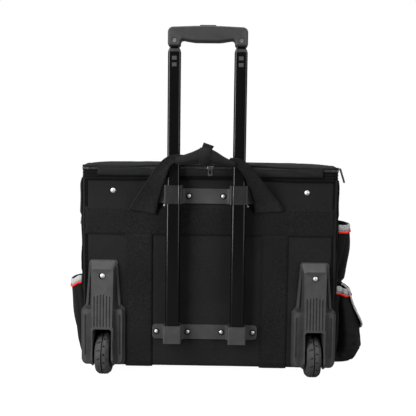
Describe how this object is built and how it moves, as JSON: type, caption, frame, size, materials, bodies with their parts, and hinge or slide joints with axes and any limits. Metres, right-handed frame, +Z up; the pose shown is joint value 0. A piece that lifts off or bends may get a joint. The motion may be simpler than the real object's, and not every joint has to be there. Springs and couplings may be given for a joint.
{
  "type": "rolling tool and laptop case",
  "caption": "Soft rolling case with a telescoping handle, corner wheels, hinged zip lid, side and front pockets, and carry straps.",
  "frame": {"origin": "bottom centre of the whole case's bounding box, on the floor that the wheels and feet stand on", "axes": "+Z up, -Y the back with the handle and wheels, +Y the front with the lid's hinge and front pockets, +X to the right as seen from the back"},
  "size_m": [0.551, 0.355, 0.6135],
  "materials": {
    "black_fabric": "woven black polyester",
    "lining": "padded lining",
    "board": "stiff plastic board",
    "zip_tape": "ribbed tape",
    "webbing": "coarse woven black webbing",
    "grey_binding": "grey grosgrain binding",
    "red_piping": "bright red piping",
    "moulded_plastic": "moulded, soft gloss",
    "grip_plastic": "fine-textured moulded grip",
    "tube_paint": "satin black",
    "rivet_metal": "plain",
    "steel": "plain",
    "slider_metal": "dark nickel",
    "tyre_rubber": "matt rubber"
  },
  "bodies": {
    "case": {"back_panel": "black_fabric", "front_panel": "black_fabric", "base_panel": "black_fabric", "left_panel": "black_fabric", "right_panel": "black_fabric", "back_board": "board", "base_board": "board", "laptop_sleeve": "lining", "zip_collar": "zip_tape", "lower_zip_track": "zip_tape", "corner_piping": "webbing", "rear_webbing_band": "webbing", "wrap_webbing": "webbing", "rivets": "rivet_metal", "lower_bracket": "moulded_plastic", "upper_bracket": "moulded_plastic", "outer_tubes": "tube_paint", "left_wheel_housing": "moulded_plastic", "right_wheel_housing": "moulded_plastic", "wheel_axles": "steel", "front_feet": "moulded_plastic", "left_lower_pocket": "black_fabric", "left_upper_pocket": "black_fabric", "right_upper_pocket": "black_fabric", "right_lower_pocket": "black_fabric", "front_pockets": "black_fabric", "front_zip_pocket": "black_fabric", "pocket_bindings": "grey_binding", "pocket_piping": "red_piping"},
    "lid": {"lid_panel": "black_fabric", "upper_zip_track": "zip_tape"},
    "handle_middle_stage": {"middle_tubes": "tube_paint", "middle_tube_collars": "moulded_plastic", "middle_tube_glides": "moulded_plastic"},
    "lower_lock": {"lower_lock_pins": "steel"},
    "handle_inner_stage": {"inner_tubes": "tube_paint", "inner_tube_plugs": "moulded_plastic", "grip_rear_shell": "grip_plastic", "grip_front_shell": "grip_plastic", "grip_screws": "rivet_metal"},
    "upper_lock": {"upper_lock_pins": "steel"},
    "button": {"release_button": "grip_plastic", "push_rods": "steel"},
    "left_wheel": {"left_tyre": "tyre_rubber", "left_hub": "moulded_plastic"},
    "right_wheel": {"right_tyre": "tyre_rubber", "right_hub": "moulded_plastic"},
    "rear_strap": {"rear_strap_webbing": "webbing", "rear_grip_wrap": "black_fabric", "rear_grip_keeper": "webbing"},
    "front_strap": {"front_strap_webbing": "webbing", "front_grip_wrap": "black_fabric", "front_grip_keeper": "webbing"},
    "rear_slider": {"rear_zip_slider": "slider_metal"},
    "rear_pull": {"rear_zip_pull": "slider_metal"},
    "side_slider": {"side_zip_slider": "slider_metal"},
    "side_pull": {"side_zip_pull": "slider_metal"},
    "front_slider": {"front_zip_slider": "slider_metal"},
    "pocket_flap": {"right_pocket_flap": "black_fabric"}
  },
  "joints": [
    {"name": "lid_hinge", "type": "hinge", "parent": "case", "child": "lid", "pos_m": [-0.0125, 0.1252, 0.3755], "axis": [-1, 0, 0], "range_deg": [0, 105]},
    {"name": "handle_lower_slide", "type": "slide", "parent": "case", "child": "handle_middle_stage", "axis": [0, 0, 1], "range_m": [-0.2, 0]},
    {"name": "handle_upper_slide", "type": "slide", "parent": "handle_middle_stage", "child": "handle_inner_stage", "axis": [0, 0, 1], "range_m": [0, 0.21]},
    {"name": "release_press", "type": "slide", "parent": "handle_inner_stage", "child": "button", "axis": [0, 0, -1], "range_m": [0, 0.005], "stiffness_N_per_m": 400, "springref_m": -0.006},
    {"name": "lower_lock_retract", "type": "slide", "parent": "handle_middle_stage", "child": "lower_lock", "axis": [0, 1, 0], "range_m": [0, 0.0025]},
    {"name": "upper_lock_retract", "type": "slide", "parent": "handle_inner_stage", "child": "upper_lock", "axis": [0, 1, 0], "range_m": [0, 0.0025]},
    {"name": "left_wheel_spin", "type": "hinge", "parent": "case", "child": "left_wheel", "pos_m": [-0.199, -0.1158, 0.038], "axis": [1, 0, 0], "continuous": true},
    {"name": "right_wheel_spin", "type": "hinge", "parent": "case", "child": "right_wheel", "pos_m": [0.174, -0.1158, 0.038], "axis": [1, 0, 0], "continuous": true},
    {"name": "rear_strap_swing", "type": "hinge", "parent": "case", "child": "rear_strap", "pos_m": [-0.019, -0.1298, 0.2903], "axis": [1, 0, 0], "range_deg": [0, 130]},
    {"name": "front_strap_swing", "type": "hinge", "parent": "case", "child": "front_strap", "pos_m": [-0.0165, 0.1298, 0.3377], "axis": [1, 0, 0], "range_deg": [0, 135]},
    {"name": "rear_zip_slide", "type": "slide", "parent": "case", "child": "rear_slider", "axis": [1, 0, 0], "range_m": [-0.19, 0.19]},
    {"name": "rear_pull_swing", "type": "hinge", "parent": "rear_slider", "child": "rear_pull", "pos_m": [-0.0125, -0.1325, 0.3744], "axis": [-1, 0, 0], "range_deg": [0, 150]},
    {"name": "side_zip_slide", "type": "slide", "parent": "case", "child": "side_slider", "axis": [0, 1, 0], "range_m": [0, 0.19]},
    {"name": "side_pull_swing", "type": "hinge", "parent": "side_slider", "child": "side_pull", "pos_m": [0.2176, -0.1078, 0.3744], "axis": [0, -1, 0], "range_deg": [0, 120]},
    {"name": "front_zip_slide", "type": "slide", "parent": "case", "child": "front_slider", "axis": [1, 0, 0], "range_m": [-0.065, 0.065]},
    {"name": "pocket_flap_lift", "type": "hinge", "parent": "case", "child": "pocket_flap", "pos_m": [0.218, -0.0008, 0.165], "axis": [0, -1, 0], "range_deg": [0, 45]}
  ],
  "couplings": [
    {"joint": "lower_lock_retract", "follows": "release_press", "ratio": 0.5},
    {"joint": "upper_lock_retract", "follows": "release_press", "ratio": 0.5}
  ]
}
